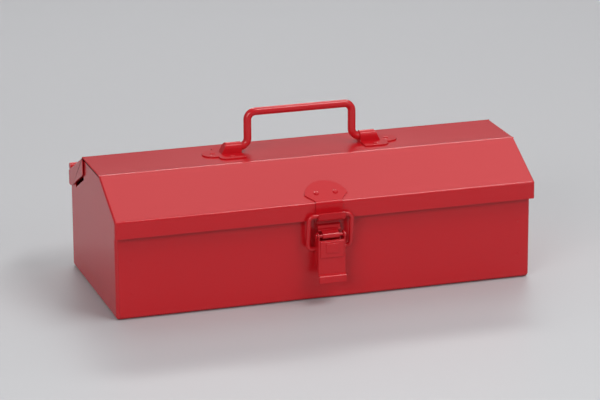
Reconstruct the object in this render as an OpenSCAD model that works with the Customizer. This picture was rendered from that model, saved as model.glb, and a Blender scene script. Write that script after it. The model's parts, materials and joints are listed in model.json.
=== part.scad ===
// Steel toolbox with a mountain-shaped hinged lid, folding carry handle,
// draw latch and a lift-out tray. Millimetres, +Z up, X along the length,
// +Y to the hinge side. Origin: centre of the body's underside.

/* [Body] */
// Length of the body, outside
body_length = 370; // [300:1:440]
// Depth of the body, outside, front to back
body_depth = 158; // [132:1:190]
// Height of the lid's front and back edges above the floor
eave_height = 87.9; // [78:0.1:110]
// Thickness of the body and lid sheet
sheet = 0.7; // [0.6:0.1:0.9]
// Outside radius of the body's bends
bend_radius = 3.2; // [2.5:0.1:4]
// Width of the flanges that are folded inside the body
flange_width = 9; // [7:0.5:12]
// Width of the lips that are folded in along the body's top edges
wall_lip = 5; // [4:0.5:7]

/* [Lid] */
// Depth of the flat on top of the lid
lid_flat_depth = 59.8; // [50:0.1:80]
// Rise of the lid from its edges to the flat
lid_rise = 26; // [20:0.5:30]
// Height of the lid's front lip
lid_lip = 15; // [13:0.5:20]
// Gap between the lid's end strips and the body's ends
lid_end_gap = 0.8; // [0.5:0.1:1.5]
// Gap between the lid's front lip and the body's front
lid_front_gap = 5.3; // [4:0.1:6]
// Gap between the lid and the edges that it closes on
lid_seat_gap = 0.5; // [0.4:0.1:0.8]
// Width of the end strips along the front slope
strip_width = 12; // [9:0.5:15]
// Width of the end ears along the back slope
ear_width = 14.8; // [12:0.1:18]

/* [Hinge] */
// Diameter of the hinge pin
hinge_pin_d = 4.6; // [4:0.1:5.2]
// Thickness of the hinge leaves
leaf = 0.9; // [0.8:0.05:1.1]
// Number of hinge knuckles, an odd number
knuckles = 7; // [5:2:11]
// Height of each hinge leaf on its panel
leaf_height = 14; // [11:0.5:18]

/* [Handle] */
// Diameter of the handle rod
handle_d = 6.9; // [6:0.1:8]
// Distance between the centres of the handle's legs
handle_span = 94.4; // [80:0.2:120]
// Height of the handle's bar above its pivot
handle_rise = 30.2; // [27:0.2:33]
// Radius of the handle's bends, at the middle of the rod
handle_bend = 7; // [5:0.5:9]
// Length of each sleeve that holds the handle
sleeve_length = 18; // [14:0.5:24]
// Thickness of the handle brackets
bracket_sheet = 1.2; // [1:0.1:1.6]

/* [Latch] */
// Width of the latch lever
lever_width = 24; // [20:0.5:28]
// Thickness of the latch plates
latch_sheet = 1; // [0.8:0.1:1.2]
// Diameter of the latch loop's wire
wire_d = 3.8; // [3:0.1:4]
// Distance between the middles of the loop's sides
loop_width = 38; // [34:0.5:44]
// Diameter of the lever's pin
lever_pin_d = 3; // [2.5:0.1:3.4]
// Widest part of the keeper plate
keeper_width = 38.4; // [34:0.2:44]
// Width of the keeper's neck and hook
keeper_neck = 24; // [20:0.5:26]

/* [Tray] */
// Height of the tray's walls
tray_height = 30; // [22:0.5:34]
// Thickness of the tray sheet
tray_sheet = 0.6; // [0.5:0.1:0.8]
// Gap between the tray and the body's folded lips, at each end
tray_end_gap = 1.5; // [1:0.5:3]
// Gap between the tray and the body's folded lips, front and back
tray_side_gap = 1.5; // [1:0.5:4]
// Height of the tray's floor above the body's underside
tray_level = 48; // [40:0.5:50]
// Width of the ledges that carry the tray
ledge_width = 13; // [11:0.5:16]
// Diameter of the tray's wire grip
grip_d = 4; // [3:0.5:5]

/* [Fits] */
// Radial clearance between a pin and the hole that it turns in
pin_clearance = 0.06; // [0.02:0.01:0.09]
// Gap between moving faces that stand side by side
side_gap = 0.4; // [0.3:0.05:0.6]

/* [Hidden] */
$fn = 48;
tiny = 0.01;
red = "#b3202a";
steel = "#b9bcc0";

// lid outline, in the YZ plane
lid_back = body_depth / 2 - 0.5;
lid_front = -body_depth / 2 - lid_front_gap - sheet;
lid_top = eave_height + lid_rise;
slope_run = (lid_back - lid_front - lid_flat_depth) / 2;
slope_angle = atan(lid_rise / slope_run);
slope_length = slope_run / cos(slope_angle);
ridge_front = lid_front + slope_run;
ridge_back = lid_back - slope_run;
lid_length = body_length + 2 * (lid_end_gap + sheet);
lid_bend = 2.4;
lid_path = [[lid_front, eave_height - lid_lip], [lid_front, eave_height],
            [ridge_front, lid_top], [ridge_back, lid_top], [lid_back, eave_height]];

// body outline, in the YZ plane
inner_half = body_length / 2 - sheet;
shell_half = body_depth / 2 - sheet;
end_slot_length = 34;
end_slot_width = 3.6;
slot_from_back = 33.5;
wall_top = eave_height - sheet - lid_seat_gap - 0.4;
peak = lid_top - sheet - lid_seat_gap;
slope_drop = (sheet + lid_seat_gap) / cos(slope_angle);
lip_bend = 1.5;

// hinge
knuckle_r = hinge_pin_d / 2 + pin_clearance + leaf;
hinge_y = body_depth / 2 + knuckle_r;
hinge_z = eave_height - (hinge_y - lid_back) * tan(slope_angle) + knuckle_r / cos(slope_angle);
hinge_length = body_length - 2;
knuckle_pitch = hinge_length / knuckles;
knuckle_length = knuckle_pitch - side_gap;

// handle and its brackets
sleeve_clearance = 0.08;
sleeve_r = handle_d / 2 + sleeve_clearance;
handle_y = (ridge_front + ridge_back) / 2;
handle_z = lid_top + bracket_sheet + sleeve_r + 0.6;
leg_end = handle_span / 2 + handle_bend;
bracket_start = leg_end - side_gap;
sleeve_slope = 4.5;
rod_hold = sleeve_length - sleeve_slope - bracket_sheet - side_gap;
plate_half_depth = 19;
plate_length = 22;
plate_chamfer = 3.5;
tongue_half_depth = 10;
tongue_length = 12.2;
bracket_rivet_spread = 13.5;

// latch, in the YZ plane
panel_front = -body_depth / 2;
base_plate = 1.2;
base_arm_width = 14.4;
lever_out = 13.6;
lever_reach = 33.5;
pivot_drop = 28.3;
wire_out = 5.5;
wire_drop = 12;
hook_drop = 10.5;
lever_face = panel_front - lever_out;
pivot_y = lever_face + latch_sheet + side_gap + lever_pin_d / 2 + base_plate;
pivot_z = eave_height - pivot_drop;
lever_bottom = pivot_z - lever_reach;
wire_y = panel_front - wire_out;
wire_z = pivot_z - wire_drop;
hook_r = 3.2;
hook_y = lid_front - latch_sheet - hook_r;
hook_z = eave_height - hook_drop;
hook_lean = 12;
hook_lip = 4.3;
bar_y = hook_y + 0.5;
loop_bend = 4.5;

// heads of the rivets
rivet_d = 4.4;
rivet_h = 0.9;

// tray
tray_half_length = body_length / 2 - wall_lip - tray_end_gap;
tray_half_depth = body_depth / 2 - wall_lip - tray_side_gap;
tray_bend = 2;
grip_height = 24;
grip_half = 45;
grip_bend = 6;
grip_foot = 16;
grip_z = tray_level + tray_height - 4;
end_rim = 6;
divider_drop = 4;

// ---- shapes that repeat ----

// Turn a YZ outline into a solid that runs along X, centred on the middle.
module along_x(length) {
    rotate([90, 0, 90])
        translate([0, 0, -length / 2])
            linear_extrude(length)
                children();
}

function unit(v) = v / norm(v);
function turn(a, b, c) = let (u = unit(b - a), v = unit(c - b))
    atan2(u[0] * v[1] - u[1] * v[0], u * v);

// Steps in each round bend of a sheet.
bend_steps = 8;

// The arc at bend i of a path whose outer radius is r, drawn at radius at_r.
function bend_arc(path, i, r, at_r) =
    let (u = unit(path[i] - path[i - 1]),
         angle = abs(turn(path[i - 1], path[i], path[i + 1])),
         centre = path[i] - u * r * tan(angle / 2) + [u[1], -u[0]] * r,
         start = atan2(u[0], -u[1]))
    [for (k = [0:bend_steps])
        centre + at_r * [cos(start - angle * k / bend_steps), sin(start - angle * k / bend_steps)]];

// A sheet bent along a path, as a flat outline. The path is the sheet's outer
// face, and the sheet lies to the right of it. Bends turn to the right.
module bent_outline(path, r, t) {
    last = len(path) - 1;
    u = unit(path[1] - path[0]);
    v = unit(path[last] - path[last - 1]);
    polygon(concat(
        [path[0]],
        [for (i = [1:last - 1], p = bend_arc(path, i, r, r)) p],
        [path[last], path[last] + [v[1], -v[0]] * t],
        [for (i = [last - 1:-1:1], k = [bend_steps:-1:0]) bend_arc(path, i, r, r - t)[k]],
        [path[0] + [u[1], -u[0]] * t]));
}

// A quarter-round bend of sheet, standing along Z, that joins +X to +Y.
module corner_bend(r, t, height) {
    intersection() {
        difference() {
            cylinder(r = r, h = height);
            translate([0, 0, -1]) cylinder(r = r - t, h = height + 2);
        }
        cube([r + 1, r + 1, height]);
    }
}

// The rounded corner of sheet where three bends meet, below and outward.
module corner_cup(r, t) {
    rotate_extrude(angle = 90)
        intersection() {
            difference() {
                circle(r);
                circle(r - t);
            }
            translate([0, -r]) square(r);
        }
}

// A quarter turn of round wire, in the XY plane.
module wire_elbow(r_bend, d) {
    rotate_extrude(angle = 90)
        translate([r_bend, 0])
            circle(d = d);
}

module rod_x(length, d) {
    rotate([0, 90, 0]) cylinder(d = d, h = length, center = true);
}

module rod_z(length, d) {
    cylinder(d = d, h = length);
}

// A low round rivet head on the +Z side.
module rivet_head(d, h) {
    cylinder(d = d, h = h * 0.5);
    translate([0, 0, h * 0.5]) cylinder(d1 = d, d2 = d * 0.6, h = h * 0.5);
}

// Move a piece from the plane of the front slope: +X right, +Y up the slope.
module on_front_slope() {
    translate([0, lid_front, eave_height])
        rotate([slope_angle, 0, 0])
            children();
}

module on_back_slope() {
    translate([0, lid_back, eave_height])
        rotate([-slope_angle, 0, 0])
            children();
}

// ---- body ----

// Draw the children at the front and at the back, by mirroring.
module front_and_back() {
    for (face = [0, 1])
        mirror([0, face, 0]) children();
}

// height of the end wall's sloping edge at y
function wall_edge(y) = eave_height - slope_drop
    + min(y - lid_front, lid_back - y) * tan(slope_angle);

peak_run = (peak - eave_height + slope_drop) / tan(slope_angle);
wall_path = [[-shell_half, wall_edge(-shell_half)], [lid_front + peak_run, peak],
             [lid_back - peak_run, peak], [shell_half, wall_edge(shell_half)]];

module end_outline() {
    straight = shell_half - bend_radius;
    difference() {
        polygon([[-straight, bend_radius], [-straight, wall_edge(-straight)],
                 wall_path[1], wall_path[2],
                 [straight, wall_edge(straight)], [straight, bend_radius]]);
        // slot just under the lid's ear
        translate([lid_back - slot_from_back,
                   eave_height + slot_from_back * tan(slope_angle) - ear_width / cos(slope_angle)])
            rotate(-slope_angle)
                translate([-end_slot_length / 2, -end_slot_width])
                    square([end_slot_length, end_slot_width]);
    }
}

// The flat of the bottom. The edge strips and the end walls carry on from it.
module bottom_sheet() {
    flat_half = body_length / 2 - bend_radius;
    flat_depth = shell_half - bend_radius;
    color(red)
        translate([-flat_half, -flat_depth, 0])
            cube([2 * flat_half, 2 * flat_depth, sheet]);
}

// An end wall with its bottom bend, its top lips and the flanges behind the panels.
module end_wall(side) {
    flat_half = body_length / 2 - bend_radius;
    flat_depth = shell_half - bend_radius;
    side_height = wall_top - bend_radius - 2;
    color(red)
        mirror([side < 0 ? 1 : 0, 0, 0]) {
            translate([flat_half, -flat_depth, bend_radius])
                rotate([-90, 0, 0])
                    corner_bend(bend_radius, sheet, 2 * flat_depth);
            translate([inner_half + sheet / 2, 0, 0])
                along_x(sheet)
                    end_outline();
            translate([body_length / 2 - wall_lip / 2, 0, 0])
                along_x(wall_lip)
                    bent_outline(wall_path, lip_bend, sheet);
            front_and_back() {
                translate([flat_half, flat_depth, bend_radius]) {
                    corner_bend(bend_radius, sheet, side_height);
                    corner_cup(bend_radius, sheet);
                }
                translate([flat_half - flange_width, shell_half - sheet, bend_radius])
                    cube([flange_width, sheet, side_height]);
            }
        }
}

module end_wall_left() {
    end_wall(-1);
}

module end_wall_right() {
    end_wall(1);
}

// An edge strip that turns up from the bottom sheet behind a panel.
module floor_edge(face) {
    flat_half = body_length / 2 - bend_radius;
    color(red)
        mirror([0, face < 0 ? 1 : 0, 0]) {
            translate([-flat_half, shell_half - bend_radius, bend_radius])
                rotate([0, 90, 0])
                    corner_bend(bend_radius, sheet, 2 * flat_half);
            translate([-flat_half + flange_width, shell_half - sheet, bend_radius])
                cube([2 * (flat_half - flange_width), sheet, flange_width]);
        }
}

module floor_edge_front() {
    floor_edge(-1);
}

module floor_edge_back() {
    floor_edge(1);
}

// A flat panel with rounded lower corners and a lip folded in at the top.
module panel(face, lip) {
    half = body_length / 2 - 2.4;
    low = 2.2;
    corner = 4;
    y = body_depth / 2;
    translate([0, face > 0 ? y : -y + sheet, 0])
        rotate([90, 0, 0])
            linear_extrude(sheet) {
                translate([-half, low + corner]) square([2 * half, wall_top - low - corner]);
                translate([-half + corner, low]) square([2 * (half - corner), corner + tiny]);
                for (side = [-1, 1])
                    translate([side * (half - corner), low + corner]) circle(corner);
            }
    if (lip > 0)
        translate([-half + flange_width + 3, face > 0 ? y - lip : -y, wall_top - sheet])
            cube([2 * (half - flange_width - 3), lip, sheet]);
}

module front_panel() {
    color(red) panel(-1, wall_lip);
}

module back_panel() {
    color(red) panel(1, 3);
}

// An angle that is welded to an end wall and carries one end of the tray.
module tray_ledge(side) {
    length = body_depth - 60;
    drop = 12;
    color(red) {
        translate([side * (inner_half - sheet / 2), 0, tray_level - drop / 2])
            cube([sheet, length, drop], center = true);
        translate([side * (inner_half - ledge_width / 2), 0, tray_level - sheet / 2])
            cube([ledge_width, length, sheet], center = true);
    }
}

module tray_ledge_left() {
    tray_ledge(-1);
}

module tray_ledge_right() {
    tray_ledge(1);
}

// ---- hinge ----

function knuckle_x(i) = -hinge_length / 2 + (i + 0.5) * knuckle_pitch;

module knuckle(i) {
    translate([knuckle_x(i), hinge_y, hinge_z])
        difference() {
            rod_x(knuckle_length, 2 * knuckle_r);
            rod_x(knuckle_length + 2, hinge_pin_d + 2 * pin_clearance);
        }
}

module hinge_body_leaf() {
    low = wall_top - leaf_height;
    color(red)
        difference() {
            union() {
                translate([-hinge_length / 2 + side_gap / 2, body_depth / 2, low])
                    cube([hinge_length - side_gap, leaf, leaf_height - 1.2]);
                for (i = [0:2:knuckles - 1]) {
                    translate([knuckle_x(i) - knuckle_length / 2, body_depth / 2, low])
                        cube([knuckle_length, leaf, hinge_z - low]);
                    knuckle(i);
                }
            }
            translate([0, hinge_y, hinge_z])
                rod_x(hinge_length + 2, hinge_pin_d + 2 * pin_clearance);
        }
}

module hinge_lid_leaf() {
    // distance down the slope's line from the lid's edge to the knuckle
    reach = (hinge_y - lid_back) / cos(slope_angle)
        - (hinge_z - eave_height + (hinge_y - lid_back) * tan(slope_angle)) * sin(slope_angle);
    setback = 2;
    color(red)
        difference() {
            union() {
                on_back_slope()
                    translate([-hinge_length / 2 + side_gap / 2, -leaf_height, 0])
                        cube([hinge_length - side_gap, leaf_height - setback, leaf]);
                for (i = [1:2:knuckles - 2]) {
                    on_back_slope()
                        translate([knuckle_x(i) - knuckle_length / 2, -leaf_height, 0])
                            cube([knuckle_length, leaf_height + reach, leaf]);
                    knuckle(i);
                }
            }
            translate([0, hinge_y, hinge_z])
                rod_x(hinge_length + 2, hinge_pin_d + 2 * pin_clearance);
        }
}

module hinge_pin() {
    head = 0.9;
    color(red)
        translate([0, hinge_y, hinge_z]) {
            rod_x(hinge_length - side_gap, hinge_pin_d);
            for (side = [-1, 1])
                translate([side * (hinge_length / 2 - side_gap / 2 + head / 2), 0, 0])
                    rod_x(head, hinge_pin_d + 1.4);
        }
}

// ---- lid ----

// The end strips start this far inside the sheet's outer face, within its thickness.
inset = 0.6 * sheet;
ridge_inset = inset * (1 / cos(slope_angle) - 1) / tan(slope_angle);

// The strip that closes one end of the front slope and the lip.
module strip_outline() {
    down = strip_width / cos(slope_angle);
    lip_width = 5;
    step = 3.4;
    seam = 3.5;
    polygon([[ridge_front + ridge_inset, lid_top - inset],
             [lid_front + inset, eave_height + inset * (tan(slope_angle) - 1 / cos(slope_angle))],
             [lid_front + inset, eave_height - lid_lip],
             [lid_front + lip_width, eave_height - lid_lip],
             [lid_front + lip_width + step,
              eave_height + (lip_width + step) * tan(slope_angle) - down],
             [ridge_front + seam, lid_top + seam * tan(slope_angle) - down]]);
}

// The ear that closes one end of the back slope.
module ear_outline() {
    down = ear_width / cos(slope_angle);
    low = eave_height - 12.8;
    corner = 15.5;
    polygon([[ridge_back - ridge_inset, lid_top - inset],
             [lid_back, eave_height - inset / cos(slope_angle)],
             [lid_back, low + 1], [lid_back - 1, low], [lid_back - 5, low],
             [lid_back - 11, low + 1.6],
             [lid_back - corner, eave_height + corner * tan(slope_angle) - down],
             [ridge_back, lid_top - down]]);
}

module lid_shell() {
    color(red)
        union() {
            along_x(lid_length)
                bent_outline(lid_path, lid_bend, sheet);
            for (side = [-1, 1])
                translate([side * (lid_length / 2 - sheet / 2), 0, 0])
                    along_x(sheet) {
                        strip_outline();
                        ear_outline();
                    }
        }
}

// ---- keeper ----

// places on the slope are measured down from the front ridge
keeper_centre_down = 51;
taper_down = 48;
keeper_rivet_down = 47;
keeper_rivet_spread = 8.4;
keeper_centre = slope_length - keeper_centre_down;
keeper_r = keeper_width / 2;
fold_start = 2;

module keeper_plate() {
    wide_y = slope_length - taper_down;
    // height of the fold's corner above the lid's, on the plate's outer face
    fold_up = latch_sheet * (1 / cos(slope_angle) - tan(slope_angle));
    overlap = 5;
    mouth = 9;
    color(red)
        union() {
            on_front_slope()
                linear_extrude(latch_sheet)
                    intersection() {
                        union() {
                            translate([0, keeper_centre]) circle(keeper_r);
                            polygon([[-keeper_r, wide_y], [keeper_r, wide_y],
                                     [keeper_neck / 2, fold_start], [-keeper_neck / 2, fold_start]]);
                        }
                        polygon([[-keeper_r, keeper_centre + keeper_r],
                                 [keeper_r, keeper_centre + keeper_r],
                                 [keeper_r, wide_y], [keeper_neck / 2, fold_start],
                                 [-keeper_neck / 2, fold_start], [-keeper_r, wide_y]]);
                    }
            // fold over the lid's edge, down the lip and into the hook
            along_x(keeper_neck) {
                bent_outline([[lid_front - latch_sheet, hook_z],
                              [lid_front - latch_sheet, eave_height + fold_up],
                              [lid_front + overlap, eave_height + overlap * tan(slope_angle)
                                  + latch_sheet / cos(slope_angle)]],
                             lid_bend + latch_sheet, latch_sheet);
                translate([hook_y, hook_z])
                    difference() {
                        circle(hook_r + latch_sheet);
                        circle(hook_r);
                        polygon([[0, 0], [mouth, 0], [mouth, mouth], [-mouth, mouth],
                                 [-mouth * cos(hook_lean), -mouth * sin(hook_lean)]]);
                    }
                translate([hook_y, hook_z])
                    rotate(hook_lean)
                        translate([-hook_r - latch_sheet, 0])
                            square([latch_sheet, hook_lip]);
            }
        }
}

module keeper_rivets() {
    color(red)
        for (side = [-1, 1])
            on_front_slope()
                translate([side * keeper_rivet_spread, slope_length - keeper_rivet_down,
                           latch_sheet + tiny])
                    rivet_head(rivet_d, rivet_h);
}

// ---- handle ----

module bracket(side) {
    bore_up = handle_z - lid_top;
    hump = sleeve_r + bracket_sheet;
    tip = bracket_start + plate_length + tongue_length - tongue_half_depth;
    color(red)
        translate([0, handle_y, lid_top])
            mirror([side < 0 ? 1 : 0, 0, 0]) {
                // base plate with its narrow tongue
                linear_extrude(bracket_sheet) {
                    difference() {
                        translate([bracket_start, -plate_half_depth])
                            square([plate_length, 2 * plate_half_depth]);
                        for (end = [-1, 1])
                            translate([bracket_start + plate_length, end * plate_half_depth])
                                rotate(45) square(plate_chamfer * sqrt(2), center = true);
                    }
                    translate([tip - plate_length / 2, -tongue_half_depth])
                        square([plate_length / 2, 2 * tongue_half_depth]);
                    translate([tip, 0]) circle(tongue_half_depth);
                }
                // sleeve round the handle's end, closed by a sloping outer end
                difference() {
                    translate([bracket_start, 0, 0])
                        rotate([90, 0, 90])
                            linear_extrude(sleeve_length) {
                                translate([0, bore_up]) circle(hump);
                                translate([-hump, bracket_sheet / 2])
                                    square([2 * hump, bore_up - bracket_sheet / 2]);
                            }
                    translate([bracket_start - 1, 0, bore_up])
                        rotate([0, 90, 0])
                            cylinder(r = sleeve_r, h = 1 + side_gap + rod_hold + side_gap);
                    translate([bracket_start + sleeve_length, -hump - 1, bracket_sheet])
                        rotate([0, -atan(sleeve_slope / (bore_up + hump - bracket_sheet)), 0])
                            cube([sleeve_length, 2 * hump + 2, 3 * hump]);
                }
            }
}

module handle_bracket_left() {
    bracket(-1);
}

module handle_bracket_right() {
    bracket(1);
}

module bracket_rivets() {
    color(red)
        for (side = [-1, 1])
            translate([0, handle_y, lid_top + bracket_sheet]) {
                translate([side * (bracket_start + plate_length + tongue_length / 4), 0, 0])
                    rivet_head(rivet_d, rivet_h);
                for (end = [-1, 1])
                    translate([side * (bracket_start + plate_length / 2),
                               end * bracket_rivet_spread, 0])
                        rivet_head(rivet_d, rivet_h);
            }
}

module carry_handle() {
    half = handle_span / 2;
    top = handle_z + handle_rise;
    color(red)
        translate([0, handle_y, 0]) {
            translate([0, 0, top]) rod_x(2 * (half - handle_bend), handle_d);
            for (side = [-1, 1])
                mirror([side < 0 ? 1 : 0, 0, 0]) {
                    translate([half - handle_bend, 0, top - handle_bend])
                        rotate([90, 0, 0]) wire_elbow(handle_bend, handle_d);
                    translate([half, 0, handle_z + handle_bend])
                        rod_z(handle_rise - 2 * handle_bend, handle_d);
                    translate([half + handle_bend, 0, handle_z + handle_bend])
                        rotate([90, 180, 0]) wire_elbow(handle_bend, handle_d);
                    translate([leg_end + rod_hold / 2, 0, handle_z]) rod_x(rod_hold, handle_d);
                }
        }
}

// ---- latch ----

module latch_base() {
    plate_half = lever_width / 2 - latch_sheet - side_gap + 0.4;
    low = lever_bottom + 4;
    top = eave_height - lid_lip - 1.5;
    eye = lever_pin_d / 2 + base_plate;
    arm = base_plate * 1.1;
    root = 2;
    lower_root = pivot_z - 4;
    back = panel_front - base_plate + tiny;
    // the upper arm comes down to the eye in three treads
    tread = (back - pivot_y) / 3;
    riser = (top - pivot_z - eye) / 3;
    nose = riser * 0.3;
    color(red)
        difference() {
            union() {
                translate([-plate_half, panel_front - base_plate, low])
                    cube([2 * plate_half, base_plate, top - low]);
                along_x(2 * plate_half - 2)
                    polygon([[back, top], [back - tread * 0.4, top],
                             [back - tread * 0.6, top - riser],
                             [back - tread * 1.4, top - riser - nose],
                             [back - tread * 1.6, top - 2 * riser],
                             [back - tread * 2.1, top - 2 * riser - nose],
                             [back - tread * 2.1, top - 2 * riser - nose - arm],
                             [back - tread * 1.1, top - 2 * riser - arm],
                             [back - tread * 0.4, top - riser - nose - arm],
                             [back, top - riser - nose - arm]]);
                along_x(base_arm_width) {
                    polygon([[back - tread * 1.8, top - 2 * riser - nose / 2],
                             [back - tread * 1.8, top - 2 * riser - nose / 2 - arm],
                             [pivot_y, pivot_z + eye - arm], [pivot_y, pivot_z + eye]]);
                    polygon([[back, lower_root], [back, lower_root - root],
                             [pivot_y, pivot_z - eye], [pivot_y, pivot_z - eye + arm]]);
                }
                translate([0, pivot_y, pivot_z]) rod_x(base_arm_width, 2 * eye);
            }
            translate([0, pivot_y, pivot_z]) rod_x(base_arm_width + 2, lever_pin_d);
        }
}

module latch_base_rivets() {
    color(red)
        for (up = [9, 17])
            translate([0, panel_front - base_plate, lever_bottom + up])
                rotate([90, 0, 0]) rivet_head(rivet_d, rivet_h);
}

module lever_pin() {
    head = 0.8;
    color(red)
        translate([0, pivot_y, pivot_z]) {
            rod_x(lever_width + 2 * side_gap, lever_pin_d);
            for (side = [-1, 1])
                translate([side * (lever_width / 2 + side_gap + head / 2), 0, 0])
                    rod_x(head, lever_pin_d + 1.8);
        }
}

module latch_lever() {
    ear = lever_pin_d / 2 + 1.8;
    slot_half = lever_width / 2 - latch_sheet;
    slot_low = lever_pin_d / 2 + base_plate + side_gap;
    flange_back = wire_y + wire_d / 2 + 1.5;
    lip_out = 3.4;
    lip_drop = 6.4;
    curl = 1.8;
    color(red)
        difference() {
            union() {
                // front plate
                translate([-lever_width / 2, lever_face, lever_bottom - 1])
                    cube([lever_width, latch_sheet, pivot_z - lever_bottom + 2]);
                // finger lip
                along_x(lever_width)
                    bent_outline([[lever_face - lip_out, lever_bottom - lip_drop],
                                  [lever_face - lip_out, lever_bottom],
                                  [lever_face + latch_sheet, lever_bottom]],
                                 curl, latch_sheet);
                // side flanges with the ears for the pin
                for (side = [-1, 1])
                    translate([side * (lever_width / 2 - latch_sheet / 2), 0, 0])
                        along_x(latch_sheet) {
                            translate([pivot_y, pivot_z]) circle(ear);
                            polygon([[lever_face, pivot_z + 1], [lever_face, lever_bottom + 1],
                                     [lever_face + 5, lever_bottom + 4],
                                     [flange_back, wire_z - 5],
                                     [flange_back, wire_z + 4],
                                     [pivot_y + ear - 0.2, pivot_z],
                                     [pivot_y, pivot_z + 1]]);
                        }
            }
            // slot for the base's eye
            translate([-slot_half, lever_face - 1, pivot_z - slot_low])
                cube([2 * slot_half, latch_sheet + 2, 3 * ear]);
            translate([0, pivot_y, pivot_z])
                rod_x(lever_width + 4, lever_pin_d + 2 * pin_clearance);
            translate([0, wire_y, wire_z])
                rod_x(lever_width + 4, wire_d + 2 * pin_clearance);
        }
}

module latch_loop() {
    half = loop_width / 2;
    lean = atan((wire_y - bar_y) / (hook_z - wire_z));
    rise = norm([wire_y - bar_y, hook_z - wire_z]);
    tail = half - loop_bend - (lever_width / 2 - latch_sheet - 2.5);
    color(red)
        translate([0, wire_y, wire_z])
            rotate([lean, 0, 0]) {
                translate([0, 0, rise]) rod_x(2 * (half - loop_bend), wire_d);
                for (side = [-1, 1])
                    mirror([side < 0 ? 1 : 0, 0, 0]) {
                        translate([half - loop_bend, 0, rise - loop_bend])
                            rotate([90, 0, 0]) wire_elbow(loop_bend, wire_d);
                        translate([half, 0, loop_bend])
                            rod_z(rise - 2 * loop_bend, wire_d);
                        translate([half - loop_bend, 0, loop_bend])
                            rotate([-90, 0, 0]) wire_elbow(loop_bend, wire_d);
                        translate([half - loop_bend - tail / 2, 0, 0]) rod_x(tail, wire_d);
                    }
            }
}

// ---- tray ----

module tray_pan() {
    rim = tray_level + tray_height;
    half = tray_half_depth;
    color(red)
        along_x(2 * tray_half_length - 2 * tray_sheet)
            bent_outline([[half, rim], [half, tray_level + side_gap],
                          [-half, tray_level + side_gap], [-half, rim]], tray_bend, tray_sheet);
}

module tray_end(side) {
    low = tray_level + side_gap;
    rim = tray_level + tray_height;
    half = tray_half_depth - 0.5;
    color(red)
        mirror([side < 0 ? 1 : 0, 0, 0]) {
            translate([tray_half_length - tray_sheet, -half, low])
                cube([tray_sheet, 2 * half, rim - low]);
            translate([tray_half_length - end_rim, -half, rim])
                cube([end_rim, 2 * half, tray_sheet]);
        }
}

module tray_end_left() {
    tray_end(-1);
}

module tray_end_right() {
    tray_end(1);
}

module tray_divider() {
    low = tray_level + side_gap + tray_sheet;
    color(red)
        translate([-tray_half_length + tray_sheet, -tray_sheet / 2, low])
            cube([2 * (tray_half_length - tray_sheet), tray_sheet, tray_height - divider_drop]);
}

module tray_grip() {
    top = grip_z + grip_height;
    color(steel)
        translate([0, tray_sheet / 2 + grip_d / 2, 0]) {
            translate([0, 0, top]) rod_x(2 * (grip_half - grip_bend), grip_d);
            for (side = [-1, 1])
                mirror([side < 0 ? 1 : 0, 0, 0]) {
                    translate([grip_half - grip_bend, 0, top - grip_bend])
                        rotate([90, 0, 0]) wire_elbow(grip_bend, grip_d);
                    translate([grip_half, 0, grip_z - grip_foot])
                        rod_z(grip_height - grip_bend + grip_foot, grip_d);
                }
        }
}

module tray_grip_clips() {
    clip = 0.8;
    width = 9;
    height = 4;
    color(red)
        for (side = [-1, 1], up = [-13, -5])
            translate([side * grip_half, tray_sheet / 2, grip_z + up])
                difference() {
                    translate([-width / 2, 0, -height / 2])
                        cube([width, grip_d + clip, height]);
                    translate([0, grip_d / 2, -height])
                        cylinder(d = grip_d + 2 * tiny, h = 2 * height);
                    translate([-grip_d / 2 - tiny, -1, -height])
                        cube([grip_d + 2 * tiny, grip_d / 2 + 1, 2 * height]);
                }
}

bottom_sheet();
floor_edge_front();
floor_edge_back();
end_wall_left();
end_wall_right();
front_panel();
back_panel();
tray_ledge_left();
tray_ledge_right();
hinge_body_leaf();
hinge_pin();
latch_base();
latch_base_rivets();
lever_pin();
lid_shell();
hinge_lid_leaf();
keeper_plate();
keeper_rivets();
handle_bracket_left();
handle_bracket_right();
bracket_rivets();
carry_handle();
latch_lever();
latch_loop();
tray_pan();
tray_end_left();
tray_end_right();
tray_divider();
tray_grip();
tray_grip_clips();
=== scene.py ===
import json
import math

import bmesh
import bpy
from mathutils import Matrix, Vector


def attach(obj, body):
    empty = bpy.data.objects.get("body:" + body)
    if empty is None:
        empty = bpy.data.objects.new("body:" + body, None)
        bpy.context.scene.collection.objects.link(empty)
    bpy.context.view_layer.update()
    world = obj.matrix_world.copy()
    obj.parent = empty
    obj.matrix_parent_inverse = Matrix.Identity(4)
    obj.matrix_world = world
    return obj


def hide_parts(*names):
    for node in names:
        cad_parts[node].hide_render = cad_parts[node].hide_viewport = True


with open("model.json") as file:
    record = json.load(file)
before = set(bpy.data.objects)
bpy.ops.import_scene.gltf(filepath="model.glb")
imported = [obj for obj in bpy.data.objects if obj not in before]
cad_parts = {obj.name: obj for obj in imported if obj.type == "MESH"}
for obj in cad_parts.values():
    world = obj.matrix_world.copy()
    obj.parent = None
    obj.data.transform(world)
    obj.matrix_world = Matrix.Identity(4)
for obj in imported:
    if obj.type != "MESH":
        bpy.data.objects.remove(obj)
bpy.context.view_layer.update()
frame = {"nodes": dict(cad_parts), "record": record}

mm = 0.001
print("frame loaded:", len(frame["nodes"]), "nodes")


def linear(hexColour):
    # sRGB hex to linear
    values = [int(hexColour[i:i + 2], 16) / 255 for i in (0, 2, 4)]
    return [v / 12.92 if v <= 0.04045 else ((v + 0.055) / 1.055) ** 2.4
            for v in values] + [1.0]


def addNode(tree, kind, settings=None, inputs=None, links=None):
    # one node with its settings, its socket values and the outputs that feed it
    node = tree.nodes.new(kind)
    for key, value in (settings or {}).items():
        setattr(node, key, value)
    for key, value in (inputs or {}).items():
        node.inputs[key].default_value = value
    for key, output in (links or {}).items():
        tree.links.new(output, node.inputs[key])
    return node


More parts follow.
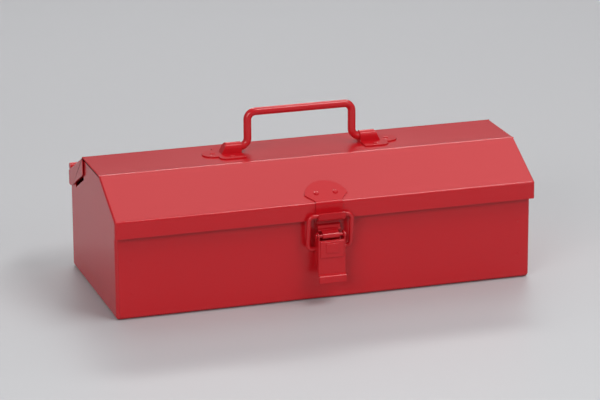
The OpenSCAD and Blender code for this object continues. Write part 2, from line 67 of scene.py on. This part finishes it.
def newMaterial(name):
    material = bpy.data.materials.new(name)
    material.use_nodes = True
    tree = material.node_tree
    tree.nodes.clear()
    return material, tree


enamel = {
    "colour": "c4151f",        # red baking enamel
    "pooled": "bd131d",        # a shade deeper where it pooled
    "poolSize": 180 * mm,      # slow drift of tone over a panel
    "peelSize": 1.8 * mm,      # orange peel, coarser than the real 0.5 mm so that it shows
    "peelDepth": 0.004 * mm,
    "peelStrength": 0.5,
    "glossRange": (0.2, 0.25),
    "ior": 1.5,
}
# the middle of a noise, stretched over the whole of a gloss range
noiseRange = (0.3, 0.7)


def bakedEnamel(name, shine=0.5):
    # baked enamel sprayed on sheet steel: a clear even red, glossy, with a faint orange peel
    material, tree = newMaterial(name)
    coords = addNode(tree, "ShaderNodeTexCoord")
    pool = addNode(tree, "ShaderNodeTexNoise", {},
                   {"Scale": 1 / enamel["poolSize"], "Detail": 1.0, "Roughness": 0.4},
                   {"Vector": coords.outputs["Object"]})
    tone = addNode(tree, "ShaderNodeMix", {"data_type": "RGBA"},
                   {"A": linear(enamel["pooled"]), "B": linear(enamel["colour"])},
                   {"Factor": pool.outputs["Fac"]})
    grain = addNode(tree, "ShaderNodeTexNoise", {},
                    {"Scale": 1 / enamel["peelSize"], "Detail": 1.0, "Roughness": 0.4},
                    {"Vector": coords.outputs["Object"]})
    low, high = enamel["glossRange"]
    gloss = addNode(tree, "ShaderNodeMapRange", {},
                    {"From Min": noiseRange[0], "From Max": noiseRange[1],
                     "To Min": low, "To Max": high},
                    {"Value": pool.outputs["Fac"]})
    bump = addNode(tree, "ShaderNodeBump", {},
                   {"Strength": enamel["peelStrength"], "Distance": enamel["peelDepth"]},
                   {"Height": grain.outputs["Fac"]})
    shader = addNode(tree, "ShaderNodeBsdfPrincipled", {},
                     {"IOR": enamel["ior"], "Specular IOR Level": shine},
                     {"Base Color": tone.outputs["Result"],
                      "Roughness": gloss.outputs["Result"],
                      "Normal": bump.outputs["Normal"]})
    addNode(tree, "ShaderNodeOutputMaterial", {}, {}, {"Surface": shader.outputs["BSDF"]})
    return material


zinc = {
    "bright": "c9ccd0",
    "dull": "a9adb3",
    "spangle": 3 * mm,
    "drawn": 0.25 * mm,        # width of a streak
    "stretch": (0.02, 1, 1),   # streaks run long in X
    "streakStrength": 0.2,
    "streakDepth": 0.01 * mm,
    "glossRange": (0.28, 0.42),
}


def zincPlatedSteel(name):
    # drawn steel rod with bright zinc: pale grey metal, fine streaks along X
    material, tree = newMaterial(name)
    coords = addNode(tree, "ShaderNodeTexCoord")
    stretched = addNode(tree, "ShaderNodeMapping", {}, {"Scale": zinc["stretch"]},
                        {"Vector": coords.outputs["Object"]})
    streaks = addNode(tree, "ShaderNodeTexNoise", {},
                      {"Scale": 1 / zinc["drawn"], "Detail": 2.0},
                      {"Vector": stretched.outputs["Vector"]})
    spots = addNode(tree, "ShaderNodeTexNoise", {},
                    {"Scale": 1 / zinc["spangle"], "Detail": 2.0},
                    {"Vector": coords.outputs["Object"]})
    tone = addNode(tree, "ShaderNodeMix", {"data_type": "RGBA"},
                   {"A": linear(zinc["dull"]), "B": linear(zinc["bright"])},
                   {"Factor": spots.outputs["Fac"]})
    low, high = zinc["glossRange"]
    gloss = addNode(tree, "ShaderNodeMapRange", {},
                    {"From Min": noiseRange[0], "From Max": noiseRange[1],
                     "To Min": low, "To Max": high},
                    {"Value": streaks.outputs["Fac"]})
    bump = addNode(tree, "ShaderNodeBump", {},
                   {"Strength": zinc["streakStrength"], "Distance": zinc["streakDepth"]},
                   {"Height": streaks.outputs["Fac"]})
    shader = addNode(tree, "ShaderNodeBsdfPrincipled", {}, {"Metallic": 1.0},
                     {"Base Color": tone.outputs["Result"],
                      "Roughness": gloss.outputs["Result"],
                      "Normal": bump.outputs["Normal"]})
    addNode(tree, "ShaderNodeOutputMaterial", {}, {}, {"Surface": shader.outputs["BSDF"]})
    return material


redEnamel = bakedEnamel("redBakedEnamel")
fittingEnamel = bakedEnamel("redFittingEnamel", shine=0.28)     # duller on the fittings
zincSteel = zincPlatedSteel("zincPlatedSteel")
slotMaterials = {"red_enamel": redEnamel, "zinc_steel": zincSteel}

nodeSlots = {part["node"]: part["material_slot"] for part in frame["record"]["subparts"]}
nodeBodies = {node: body
              for body, members in frame["record"]["behaviour"]["bodies"].items()
              for node in members}
dullNodes = ("keeper_rivets", "bracket_rivets", "latch_base_rivets")
for nodeName, node in frame["nodes"].items():
    material = fittingEnamel if nodeName in dullNodes else slotMaterials[nodeSlots[nodeName]]
    node.data.materials.clear()
    node.data.materials.append(material)
print("materials made")


def finishPiece(name, bm, body, replaced=(), material=redEnamel, bevel=0.0,
                segments=2, angle=28, smooth=40):
    # a bmesh in metres becomes a piece that rides on a body
    mesh = bpy.data.meshes.new(name)
    bm.to_mesh(mesh)
    bm.free()
    piece = bpy.data.objects.new(name, mesh)
    bpy.context.scene.collection.objects.link(piece)
    mesh.materials.append(material)
    mesh.shade_smooth()
    if bevel:
        edges = piece.modifiers.new("edges", "BEVEL")
        edges.width = bevel
        edges.segments = segments
        edges.limit_method = "ANGLE"
        edges.angle_limit = math.radians(angle)
        edges.harden_normals = True
        edges.miter_outer = "MITER_ARC"
        # keeps the flats flat to the eye beside their bends
        normals = piece.modifiers.new("normals", "WEIGHTED_NORMAL")
        normals.weight = 100
        normals.keep_sharp = True
    else:
        mesh.set_sharp_from_angle(angle=math.radians(smooth))
    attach(piece, body)
    if replaced:
        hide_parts(*replaced)


merge = {"distance": 0.002 * mm, "flat": math.radians(0.5)}


def cadCopy(nodeName):
    # the node's mesh with its loose triangles joined and its flats made whole
    bm = bmesh.new()
    bm.from_mesh(frame["nodes"][nodeName].data)
    bmesh.ops.remove_doubles(bm, verts=bm.verts, dist=merge["distance"])
    bmesh.ops.dissolve_limit(bm, angle_limit=merge["flat"], verts=bm.verts, edges=bm.edges)
    return bm


sharpAngle = math.radians(20)       # an edge that folds less than this is not a corner


def roundEdges(bm, chosen, width, segments=4, clamp=True):
    # the edges that the test picks are rounded
    edges = [edge for edge in bm.edges
             if edge.is_manifold and chosen(edge) and edge.calc_face_angle() > sharpAngle]
    bmesh.ops.bevel(bm, geom=edges, offset=width, segments=segments, profile=0.5,
                    affect="EDGES", material=-1, clamp_overlap=clamp)
    return len(edges)


def both(edge, test):
    # true where both ends of the edge, in mm, pass the test
    return all(test(vert.co / mm) for vert in edge.verts)


# bent sheet pieces keep their CAD form and get the broken edge that pressing leaves, in mm
pressed = {
    "bottom_sheet": 0.1, "floor_edge_front": 0.1, "floor_edge_back": 0.1,
    "end_wall_left": 0.14, "end_wall_right": 0.14, "front_panel": 0.2,
    "back_panel": 0.2, "tray_ledge_left": 0.15, "tray_ledge_right": 0.15,
    "hinge_body_leaf": 0.12, "hinge_lid_leaf": 0.12, "latch_base": 0.2, "tray_pan": 0.12,
    "tray_end_left": 0.12, "tray_end_right": 0.12, "tray_divider": 0.15,
}
for nodeName, width in pressed.items():
    finishPiece(nodeName + "_pressed", cadCopy(nodeName), nodeBodies[nodeName], (nodeName,),
                bevel=width * mm)
print("pressed sheet pieces made")

# the lid's end strips are turned down from the slopes, so their corner is a small bend
lid = {
    "end": 186.5,          # mm from the middle to the outside of a strip
    "endNear": 0.05,       # an edge this near to the end is on it
    "lowestEdge": 71.0,    # bends start above this height
    "lowestPanel": 75.83,   # and only on panels whose middle is above this
    "smallestPanel": 100,  # square mm
    "turn": 1.7,
    "edge": 0.28,
}


def isLidPanel(face):
    # the top, a slope or the front lip: large, and not facing an end
    outwards = face.normal.z > 0.3 or face.normal.y < -0.9
    return (outwards and abs(face.normal.x) < 0.1
            and face.calc_center_median().z > lid["lowestPanel"] * mm
            and face.calc_area() > lid["smallestPanel"] * mm * mm)


def isLidEnd(face, edge):
    # faces outwards at the end that the edge is on
    return abs(face.normal.x) > 0.9 and face.normal.x * edge.verts[0].co.x > 0


def isLidBend(edge):
    atEnd = both(edge, lambda v: abs(abs(v.x) - lid["end"]) < lid["endNear"]
                 and v.z > lid["lowestEdge"])
    return (atEnd and any(isLidPanel(face) for face in edge.link_faces)
            and any(isLidEnd(face, edge) for face in edge.link_faces))


lidMesh = cadCopy("lid_shell")
turned = roundEdges(lidMesh, isLidBend, lid["turn"] * mm, clamp=False)
print("lid edges turned:", turned)
finishPiece("lid_pressed", lidMesh, "lid", ("lid_shell",), bevel=lid["edge"] * mm)
print("lid made")

# stamped keeper: the corners of its outline are rounded
keeper = {
    "slope": math.radians(26.63),     # of the lid's front slope that it lies on
    "front": -84.0,                   # mm, its corners are behind this
    "wide": 10.0,                     # and further out than this
    "corner": 3.0,
    "edge": 0.45,
}
keeperThrough = Vector((0, -math.sin(keeper["slope"]), math.cos(keeper["slope"])))


def isKeeperCorner(edge):
    # an edge that runs through the sheet, at the outline
    run = (edge.verts[1].co - edge.verts[0].co).normalized()
    return abs(run.dot(keeperThrough)) > 0.98 and both(
        edge, lambda v: v.y > keeper["front"] and abs(v.x) > keeper["wide"])


keeperMesh = cadCopy("keeper_plate")
roundEdges(keeperMesh, isKeeperCorner, keeper["corner"] * mm, 5)
finishPiece("keeper_pressed", keeperMesh, "lid", ("keeper_plate",), fittingEnamel,
            bevel=keeper["edge"] * mm, segments=3)

# drawn brackets: the sleeve's closed end is a soft dome, not a square cut
bracket = {"top": 117.0, "end": 68.0, "dome": 1.6, "edge": 0.3}      # mm


def isSleeveEnd(edge):
    return both(edge, lambda v: abs(v.x) > bracket["end"] and v.z > bracket["top"]) and any(
        abs(face.normal.x) > 0.7 for face in edge.link_faces)


for side in ("left", "right"):
    bracketMesh = cadCopy("handle_bracket_" + side)
    roundEdges(bracketMesh, isSleeveEnd, bracket["dome"] * mm, 5)
    finishPiece("bracket_" + side + "_drawn", bracketMesh, "lid", ("handle_bracket_" + side,),
                fittingEnamel, bevel=bracket["edge"] * mm)
print("keeper and brackets made")

# lever: a pad is pressed out of its face, with a blank rectangle pressed out of the pad
lever = {
    "face": -92.6,                  # mm, the lever's front
    "edge": 0.3,
    "sunk": 0.3,                    # how far a pad's foot is sunk into what it stands on
    "pad": (10.5, 41.0, 56.0),      # half width, bottom and top
    "padRise": 1.0,
    "padSlope": 0.7,
    "padEdge": 0.3,
    "blank": (5.8, 45.4, 54.0),
    "blankRise": 0.7,
    "blankSlope": 0.4,
    "blankEdge": 0.2,
    "padAngle": 20,                 # degrees, bevels start above this
}


def makeRaisedPad(halfWidth, low, high, face, rise, slope):
    # a rectangle that stands out from a face towards the front, with sloping sides
    bm = bmesh.new()
    sunk = lever["sunk"]
    corners = [(-halfWidth, low), (halfWidth, low), (halfWidth, high), (-halfWidth, high)]
    base = bm.faces.new([bm.verts.new((x * mm, (face + sunk) * mm, z * mm))
                         for x, z in corners])
    walls = bmesh.ops.extrude_face_region(bm, geom=[base])
    front = [item for item in walls["geom"] if isinstance(item, bmesh.types.BMFace)][0]
    bmesh.ops.translate(bm, verts=front.verts, vec=(0, -sunk * mm, 0))
    bmesh.ops.inset_region(bm, faces=[front], thickness=slope * mm, depth=0.0)
    bmesh.ops.translate(bm, verts=front.verts, vec=(0, -rise * mm, 0))
    bmesh.ops.recalc_face_normals(bm, faces=bm.faces)
    return bm


finishPiece("lever_pressed", cadCopy("latch_lever"), "latch_lever", ("latch_lever",),
            bevel=lever["edge"] * mm, segments=3)
finishPiece("leverPad", makeRaisedPad(*lever["pad"], lever["face"], lever["padRise"],
                                      lever["padSlope"]),
            "latch_lever", bevel=lever["padEdge"] * mm, segments=3, angle=lever["padAngle"])
finishPiece("leverBlank", makeRaisedPad(*lever["blank"], lever["face"] - lever["padRise"],
                                        lever["blankRise"], lever["blankSlope"]),
            "latch_lever", bevel=lever["blankEdge"] * mm, segments=3,
            angle=lever["padAngle"])
print("lever made")

# spot welds: shallow discs left by the electrodes near the panels' ends
welds = {
    "radius": 2.6,              # mm
    "height": 0.12,
    "shoulder": 1.2,            # how much narrower the top is
    "sunk": 0.1,
    "boxEnd": 185.0,
    "inset": 12.0,
    "heights": (22.0, 52.0),
    "face": 79.0,
}


def makeWelds(facing):
    # low discs on the front or back panel
    bm = bmesh.new()
    turn = Matrix.Rotation(facing * math.radians(-90), 4, "X")
    for side in (-1, 1):
        for height in welds["heights"]:
            place = Vector((side * (welds["boxEnd"] - welds["inset"]),
                            facing * (welds["face"] + welds["height"] / 2 - welds["sunk"]),
                            height)) * mm
            bmesh.ops.create_cone(bm, cap_ends=True, segments=24,
                                  radius1=welds["radius"] * mm,
                                  radius2=(welds["radius"] - welds["shoulder"]) * mm,
                                  depth=(welds["height"] + 2 * welds["sunk"]) * mm,
                                  matrix=Matrix.Translation(place) @ turn)
    return bm


finishPiece("frontWelds", makeWelds(-1), "box", smooth=50)
finishPiece("backWelds", makeWelds(1), "box", smooth=50)
print("welds made")


studio = {
    "floor": "bababc",
    "floorHalf": 3.0,               # m
    "floorDrop": 0.0002,            # m below the box, so that the two don't flicker
    "sweepRadius": 2.0,             # m
    "sweepAngle": 80,               # degrees
    "floorRoughness": 0.42,
    "floorShine": 0.35,
    "world": "e6e8ec",
    "worldStrength": 0.29,
    "target": (0.9, 0.0, 64.6),     # mm
    "azimuth": -17.45,              # degrees, to the left of the front
    "elevation": 17.26,
    "distance": 2652.7,             # mm
    "roll": -0.3,
    "lens": 182.56,                 # mm
    "sensor": 36,                   # mm
}


def makeFloor():
    # a paper sweep: flat under the box and curving up far behind it
    bm = bmesh.new()
    half = studio["floorHalf"]
    bmesh.ops.create_grid(bm, x_segments=1, y_segments=1, size=half)
    bmesh.ops.translate(bm, verts=bm.verts, vec=(0, 0, -studio["floorDrop"]))
    back = [edge for edge in bm.edges if all(vert.co.y > 0.9 * half for vert in edge.verts)]
    bmesh.ops.spin(bm, geom=back, angle=math.radians(-studio["sweepAngle"]), steps=24,
                   axis=(-1, 0, 0), cent=(0, half, studio["sweepRadius"]))
    mesh = bpy.data.meshes.new("floor")
    bmesh.ops.recalc_face_normals(bm, faces=bm.faces)
    bm.to_mesh(mesh)
    bm.free()
    floor = bpy.data.objects.new("floor", mesh)
    bpy.context.scene.collection.objects.link(floor)
    mesh.shade_smooth()
    material, tree = newMaterial("palePaper")
    shader = addNode(tree, "ShaderNodeBsdfPrincipled", {},
                     {"Base Color": linear(studio["floor"]),
                      "Roughness": studio["floorRoughness"],
                      "Specular IOR Level": studio["floorShine"]})
    addNode(tree, "ShaderNodeOutputMaterial", {}, {}, {"Surface": shader.outputs["BSDF"]})
    mesh.materials.append(material)


def makeSoftbox(name, place, aim, size, power):
    data = bpy.data.lights.new(name, "AREA")
    data.shape = "RECTANGLE"
    data.size, data.size_y = size
    data.energy = power
    light = bpy.data.objects.new(name, data)
    bpy.context.scene.collection.objects.link(light)
    light.location = place
    light.rotation_euler = (Vector(aim) - Vector(place)).to_track_quat("-Z", "Y").to_euler()
    return light


def makeCamera():
    turn, lift = math.radians(studio["azimuth"]), math.radians(studio["elevation"])
    target = Vector(studio["target"]) * mm
    back = Vector((math.sin(turn) * math.cos(lift), -math.cos(turn) * math.cos(lift),
                   math.sin(lift)))
    data = bpy.data.cameras.new("camera")
    data.sensor_width = studio["sensor"]
    data.lens = studio["lens"]
    data.clip_start, data.clip_end = 0.05, 50
    camera = bpy.data.objects.new("camera", data)
    bpy.context.scene.collection.objects.link(camera)
    camera.matrix_world = (Matrix.Translation(target + back * studio["distance"] * mm)
                           @ (-back).to_track_quat("-Z", "Y").to_matrix().to_4x4()
                           @ Matrix.Rotation(math.radians(studio["roll"]), 4, "Z"))
    bpy.context.scene.camera = camera


world = bpy.data.worlds.new("studio")
bpy.context.scene.world = world
world.use_nodes = True
world.node_tree.nodes["Background"].inputs["Color"].default_value = linear(studio["world"])
world.node_tree.nodes["Background"].inputs["Strength"].default_value = studio["worldStrength"]

# softboxes: place and aim in metres, width and height in metres, power in watts
softboxes = {
    "ceiling": ((0.5, 0.9, 2.3), (0, 0, 0.05), (2.6, 1.4), 13),
    "keyTop": ((0.9, -0.7, 2.1), (0, 0, 0.05), (1.6, 0.34), 24),
    "fillLeft": ((-1.9, -2.0, 1.3), (0, 0, 0.05), (1.6, 1.2), 34),
    "fillRight": ((1.7, -2.2, 1.5), (0, -0.2, 0), (1.0, 1.0), 13),
    "backdrop": ((0.1, 1.0, 1.0), (0.1, 1.5, 0), (2.4, 0.5), 6.5),
    "stripBack": ((0.75, 2.2, 1.75), (0, 0, 0.1), (2.4, 0.3), 40),
}
makeFloor()
lights = {name: makeSoftbox(name, *values) for name, values in softboxes.items()}
# this one only shows in reflections, for the bright line along the front ridge
lights["stripBack"].visible_diffuse = False
makeCamera()
bpy.context.scene.view_settings.view_transform = "Standard"
print("studio made")
